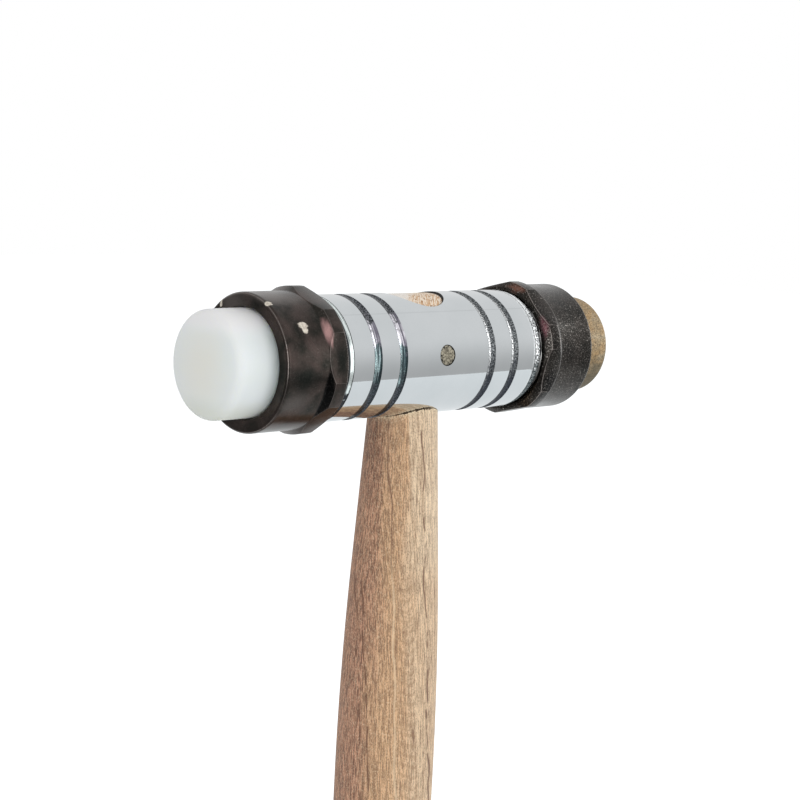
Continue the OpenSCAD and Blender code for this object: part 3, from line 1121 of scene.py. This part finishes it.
def nylon_end_patina():
    """Cloudy patina with bare chips, a rosy painted reflection by the flange, a black painted shadow
    under it, a pale painted highlight on top of the cap and painted reflections low on it.
    """
    rosy = (0.44, 0.26, 0.25)
    pale = (0.125, 0.11, 0.102)
    brown = (0.085, 0.074, 0.068)
    near_black = (0.016, 0.018, 0.016)
    black = (0.005, 0.005, 0.005)
    # A rosy painted reflection on the flange's front chamfer
    tinted_patches = ((rosy, on_collar(-38.7, CAP_R, 30), (1.4, 3.4, 4.4), 0.8),
              # A pale painted highlight on top of the cap, and a lighter brown painted reflection low
              # on it
              (pale, on_collar(-47, CAP_R, 74), (9, 7, 2.6), 0.9),
              (brown, on_collar(-47.5, CAP_R, -28), (7, 5, 4), 0.9),
              # Paler on the top of the front face
              (pale, (-COLLAR_FRONT, 4, AXIS_Z + 13.5), (1.2, 8, 4), 0.9),
              # A near-black painted reflection round the cap's middle, near black on the flange's front
              # flat, and a black painted shadow on the flange's lower front chamfer
              (near_black, on_collar(-46.5, CAP_R, -7), (8, 5, 4), 0.9),
              (near_black, on_collar(-35.6, CORNER_R, 9), (2.4, 4, 7), 0.9),
              (black, on_collar(-38.9, CAP_R, -24), (1.4, 6, 7.5), 0.4))
    chips = ((on_collar(-45.1, CAP_R, 37), (1.5, 1.2, 1.2)),
             (on_collar(-44.9, CAP_R, 33), (0.9, 0.9, 1.0)),
             (on_collar(-51.0, CAP_R, 62), (1.3, 1.0, 0.6)),
             (on_collar(-COLLAR_FRONT, CAP_R - 0.95, 123), (1.2, 0.5, 1.0)))
    return patina("patina_clouded", (0.021, 0.021, 0.018), (0.068, 0.051, 0.046), 0.12, 0.4,
                  tinted_patches, chips)


def brass_end_patina():
    """Speckled patina with a plum painted glint and a faint red bloom by the flange, and a black patch
    under it.
    """
    plum = (0.13, 0.055, 0.065)
    rust = (0.16, 0.075, 0.055)
    black = (0.005, 0.005, 0.005)
    # A plum painted glint on the back chamfer, and a faint rust bloom above it
    tinted_patches = ((plum, on_collar(34.0, CAP_R, 26), (1.3, 2.4, 4.4), 0.9),
              (rust, on_collar(34.0, CAP_R, 75), (1.3, 4.0, 2.2), 0.9),
              (black, on_collar(37.0, CORNER_R, -32), (4.2, 7, 7), 0.7))
    return patina("patina_speckled", (0.017, 0.017, 0.015), (0.032, 0.027, 0.023), 0.95, 1.0, tinted_patches)


# Faces

def face_outline():
    crown_r = (FACE_R ** 2 + FACE_CROWN ** 2) / (2 * FACE_CROWN)
    centre_x = FACE_END - crown_r
    edge_y = FACE_R - FACE_EDGE_R
    edge_x = centre_x + math.sqrt((crown_r - FACE_EDGE_R) ** 2 - edge_y ** 2)
    meeting = math.atan2(edge_y, edge_x - centre_x)
    outline = rounded([(NECK_END, 0, 0), (NECK_END, FACE_FLANGE_R, FACE_FLANGE_ROUND),
                       (LIP_BACK, FACE_FLANGE_R, FACE_FLANGE_ROUND), (LIP_BACK, FACE_R, 0),
                       (edge_x, FACE_R, 0)])[1:-1]
    outline += [(edge_x + FACE_EDGE_R * math.sin(a), edge_y + FACE_EDGE_R * math.cos(a))
                for a in np.linspace(0, math.pi / 2 - meeting, FACE_EDGE_POINTS)]
    outline += [(centre_x + crown_r * math.cos(a), crown_r * math.sin(a))
                for a in np.linspace(meeting, 0, FACE_CROWN_POINTS)[1:-1]]
    return outline


def striking_face(name, side, material):
    turns = even_turns(FACE_STEPS)
    skin = Skin()
    for x, r in face_outline():
        skin.ring(about_x(side * x, r, turns))
    skin.cap(0)
    skin.pole(-1, (side * FACE_END, 0, AXIS_Z))
    return skin.piece(name, [material])


# Handle

WOOD, CUT_END, SHADED_CUT = range(3)


def handle_materials():
    # Painted shade in the cut scribed round the top of the grip, and on the tenon's side
    scribed = recess_shade("scribed", 0.6, (0.035, 0.022, 0.014), (0.15, 0.095, 0.055), 0.6, 0.8)
    return [beech(), end_grain(), scribed]


def grip_radius(z):
    taper = NECK_TOP_R + (NECK_TOP_Z - z) * TAPER
    arc = np.where(z > SWELL_Z, UPPER_ARC_R, LOWER_ARC_R)
    turned = SWELL_R - arc + np.sqrt(np.maximum(arc ** 2 - (z - SWELL_Z) ** 2, 0))
    return np.where(z > TAPER_END_Z, taper, turned)


def butt_rings():
    """Rounded edge of the butt, from its flat to the lower arc."""
    slope = math.asin((SWELL_Z - BUTT_ROUND) / (LOWER_ARC_R - BUTT_ROUND))
    middle = SWELL_R - LOWER_ARC_R + (LOWER_ARC_R - BUTT_ROUND) * math.cos(slope)
    return [(middle + BUTT_ROUND * math.cos(a), BUTT_ROUND + BUTT_ROUND * math.sin(a))
            for a in np.linspace(-math.pi / 2, -slope, BUTT_POINTS)]


def under_barrel(r, turns):
    """Height just under the barrel, at a radius round the handle."""
    return AXIS_Z - np.sqrt((BARREL_R + SADDLE_FIT) ** 2 - (r * np.sin(turns)) ** 2)


def torn_edge(rng, turns):
    """How far the fibres are broken away round the scribed top of the grip, most at the front."""
    splinters = ragged(rng, HANDLE_STEPS, SPLINTER_STEPS) ** 2
    bites = ragged(rng, HANDLE_STEPS, BITE_STEPS) ** 2
    front = np.clip(np.cos(turns + math.radians(TORN_TURN)), 0, 1) ** TORN_NARROWING
    return SPLINTER * splinters + TORN_DEPTH * (splinters + bites) * front


def handle():
    rng = np.random.default_rng(SEED)
    turns = even_turns(HANDLE_STEPS)
    skin = Skin()
    butt = butt_rings()
    for r, z in butt:
        skin.ring(about_z(r, z, turns))
    for z in np.linspace(butt[-1][1], TAPER_END_Z, GRIP_RINGS)[1:]:
        skin.ring(about_z(grip_radius(z), z, turns))
    torn = torn_edge(rng, turns)
    top = np.full(HANDLE_STEPS, NECK_TOP_Z)
    for _ in range(SADDLE_TRIES):
        top = under_barrel(grip_radius(top), turns)
    for share in 1 - np.linspace(1, 0, TAPER_RINGS)[1:] ** TAPER_CROWDING:
        z = TAPER_END_Z + (top - TAPER_END_Z) * share - torn * share ** TORN_FADE
        skin.ring(about_z(grip_radius(z), z, turns), wear_and_glint=share ** WEAR_FADE)
    for r, depth in ((NECK_TOP_R - SCRIBE_INSET, SCRIBE_DEPTH), (TENON_R, SCRIBE_FLOOR)):
        skin.ring(about_z(r, under_barrel(r, turns) - torn - depth, turns), SHADED_CUT)
    for share in TENON_RING_SHARES:
        skin.ring(about_z(TENON_R, AXIS_Z + BARREL_R * share, turns), SHADED_CUT)
    tenon_end(skin, turns, rng)
    skin.cap(0, CUT_END)
    return skin.piece("beech_handle", handle_materials(), HANDLE_SHARP)


def tenon_end(skin, turns, rng):
    """Top of the tenon, cut to the barrel's curve and rubbed down towards the brass end."""
    fuzz = TENON_FUZZ * ragged(rng, HANDLE_STEPS, FUZZ_STEPS)
    rubbed = TENON_RUB * np.clip(np.cos(turns), 0, 1) ** 2
    for inset, depth in TENON_ROWS:
        edge = 1 - min(inset / TENON_EDGE_W, 1)
        r = TENON_R - inset - rubbed * edge
        sink = TENON_SINK + depth + (fuzz + rubbed) * edge
        z = AXIS_Z + np.sqrt((BARREL_R - sink) ** 2 - (r * np.sin(turns)) ** 2)
        skin.ring(about_z(r, z, turns), CUT_END if inset else WOOD)
    skin.pole(-1, (0, 0, AXIS_Z + BARREL_R - TENON_SINK), CUT_END)


# Pin

def cross_pin():
    rng = np.random.default_rng(SEED)
    turns = even_turns(PIN_STEPS)
    skin = Skin()
    for side, rows in ((-1, PIN_ROWS), (1, PIN_ROWS[::-1])):
        for share, low in rows:
            dents = PIN_DENT * rng.random(PIN_STEPS) * (share < PIN_DENT_SHARE)
            x = PIN_X + PIN_R * share * np.cos(turns)
            z = PIN_Z + PIN_R * share * np.sin(turns)
            depth = BARREL_R - PIN_SINK - low - dents
            y = side * np.sqrt(depth ** 2 - (z - AXIS_Z) ** 2)
            skin.ring(np.stack([x, y, z], 1))
    end_y = math.sqrt((BARREL_R - PIN_SINK) ** 2 - (PIN_Z - AXIS_Z) ** 2)
    skin.pole(0, (PIN_X, -end_y, PIN_Z))
    skin.pole(-1, (PIN_X, end_y, PIN_Z))
    return skin.piece("pin_ends", [pin_brass()])


# The object, piece by piece

def fit(piece, node, body):
    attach(piece, body)
    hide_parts(node)


head_piece, pin_cutter = make_head()
handle_piece = handle()
cut(handle_piece, [pin_cutter])
smooth(handle_piece.data, HANDLE_SHARP)
bpy.data.objects.remove(pin_cutter)
fit(head_piece, "head_barrel", "head")
fit(handle_piece, "handle", "head")
fit(cross_pin(), "cross_pin", "head")
fit(striking_face("nylon_tip", -1, nylon()), "nylon_face", "nylon_face")
fit(striking_face("brass_tip", 1, dull_brass()), "brass_face", "brass_face")
fit(collar("nylon_end_collar", NYLON_COLLAR_TURN, -1, nylon_end_patina()),
    "nylon_collar", "nylon_collar")
fit(collar("brass_end_collar", BRASS_COLLAR_TURN, 1, brass_end_patina()),
    "brass_collar", "brass_collar")


# Table, light and camera

TABLE_FRONT_Y = -0.312
TABLE_LEFT_X = -0.13
TABLE_REACH = 3.0
TABLE_COLOUR = (0.72, 0.755, 0.77)
TABLE_GLOW = 0.68
TABLE_GLOSS_GLOW = 0.4


def table():
    corners = [(TABLE_LEFT_X, TABLE_FRONT_Y, 0), (TABLE_REACH, TABLE_FRONT_Y, 0),
               (TABLE_REACH, TABLE_REACH, 0), (TABLE_LEFT_X, TABLE_REACH, 0)]
    mesh = bpy.data.meshes.new("table")
    mesh.from_pydata(corners, [], [(0, 1, 2, 3)])
    placed("table", mesh)
    material = bpy.data.materials.new("table")
    material.use_nodes = True
    mesh.materials.append(material)
    nodes = Nodes(material.node_tree)
    nodes.tree.nodes.clear()
    strength = (nodes.ray("Camera") * TABLE_GLOW).most(nodes.gloss() * TABLE_GLOSS_GLOW)
    glow = nodes.add("ShaderNodeEmission", 0, Strength=strength)
    matt = nodes.add("ShaderNodeBsdfDiffuse", 0, TABLE_COLOUR)
    both = nodes.add("ShaderNodeAddShader", 0, matt, glow)
    nodes.add("ShaderNodeOutputMaterial", None, both)


# Edges in the room are heights or sides of a direction of length 1
WHITE = (1.0, 1.0, 1.0)
ROOM_LIGHT = 0.62
ROOM_LOW = 0.58
ROOM_HIGH = 0.91
ROOM_RISE = (-0.4, 0.42)
ROOM_BACK = 0.65
BACK_EDGES = (-0.4, -0.1)
BACK_TOP = (0.1, 0.5)
SEAM_SHADE = 0.9
SEAM_EDGES = (0.006, 0.022)


def room():
    """White to the camera, even soft light, and in the metal a pale room with a darker foot."""
    world = bpy.data.worlds.new("room")
    bpy.context.scene.world = world
    world.use_nodes = True
    nodes = Nodes(world.node_tree)
    nodes.tree.nodes.clear()
    x, y, z = nodes.add("ShaderNodeTexCoord", "Generated").split()
    rise = z.step(*ROOM_RISE, ROOM_LOW, ROOM_HIGH)
    # A seam in the ceiling, right over the barrel
    seam = abs(y).step(*SEAM_EDGES, SEAM_SHADE, 1.0)
    # The dark side of the room, on the camera's side and under the ceiling
    back = x.step(*BACK_EDGES, ROOM_BACK, 1.0).most(z.step(*BACK_TOP))
    even, mirrored, white = [nodes.add("ShaderNodeBackground", 0, WHITE, strength)
                             for strength in (ROOM_LIGHT, rise * seam * back, 1.0)]
    lit = nodes.add("ShaderNodeMixShader", 0, nodes.gloss(), even, mirrored)
    shown = nodes.add("ShaderNodeMixShader", 0, nodes.ray("Camera"), lit, white)
    nodes.add("ShaderNodeOutputWorld", None, shown)


def softbox(name, bearing, rise, distance, width, height, power):
    """An even lamp that faces the barrel. Its bearing goes from the brass end to the front."""
    data = bpy.data.lights.new(name, "AREA")
    data.shape = "RECTANGLE"
    data.size = width
    data.size_y = height
    data.energy = power
    piece = placed(name, data)
    turn = math.radians(bearing)
    lift = math.radians(rise)
    away = Vector((math.cos(turn) * math.cos(lift), -math.sin(turn) * math.cos(lift), math.sin(lift)))
    piece.location = away * distance + Vector((0, 0, AXIS_Z * MM))
    piece.rotation_euler = (-away).to_track_quat("-Z", "Y").to_euler()
    piece.visible_camera = False


def lamps():
    """Soft boxes at the brass end, at the front and beside the camera."""
    softbox("right_box", bearing=17, rise=9, distance=1.2, width=0.42, height=0.7, power=2.6)
    softbox("front_box", bearing=74, rise=5, distance=1.2, width=0.9, height=0.9, power=2.6)
    softbox("near_box", bearing=138, rise=6, distance=1.1, width=0.4, height=0.8, power=2.4)


CAMERA_PLACE = (-0.31635, -0.32368, 0.28769)
CAMERA_TURN = (81.899, -2.992, -43.812)
CAMERA_LENS = 83.62
CAMERA_SENSOR = 36.0
CAMERA_NEAREST = 0.01


def camera():
    data = bpy.data.cameras.new("camera")
    data.sensor_width = CAMERA_SENSOR
    data.lens = CAMERA_LENS
    data.clip_start = CAMERA_NEAREST
    piece = placed("camera", data)
    piece.location = CAMERA_PLACE
    piece.rotation_euler = Euler([math.radians(a) for a in CAMERA_TURN], "XYZ")
    bpy.context.scene.camera = piece


table()
room()
lamps()
camera()
bpy.context.scene.view_settings.view_transform = "Standard"
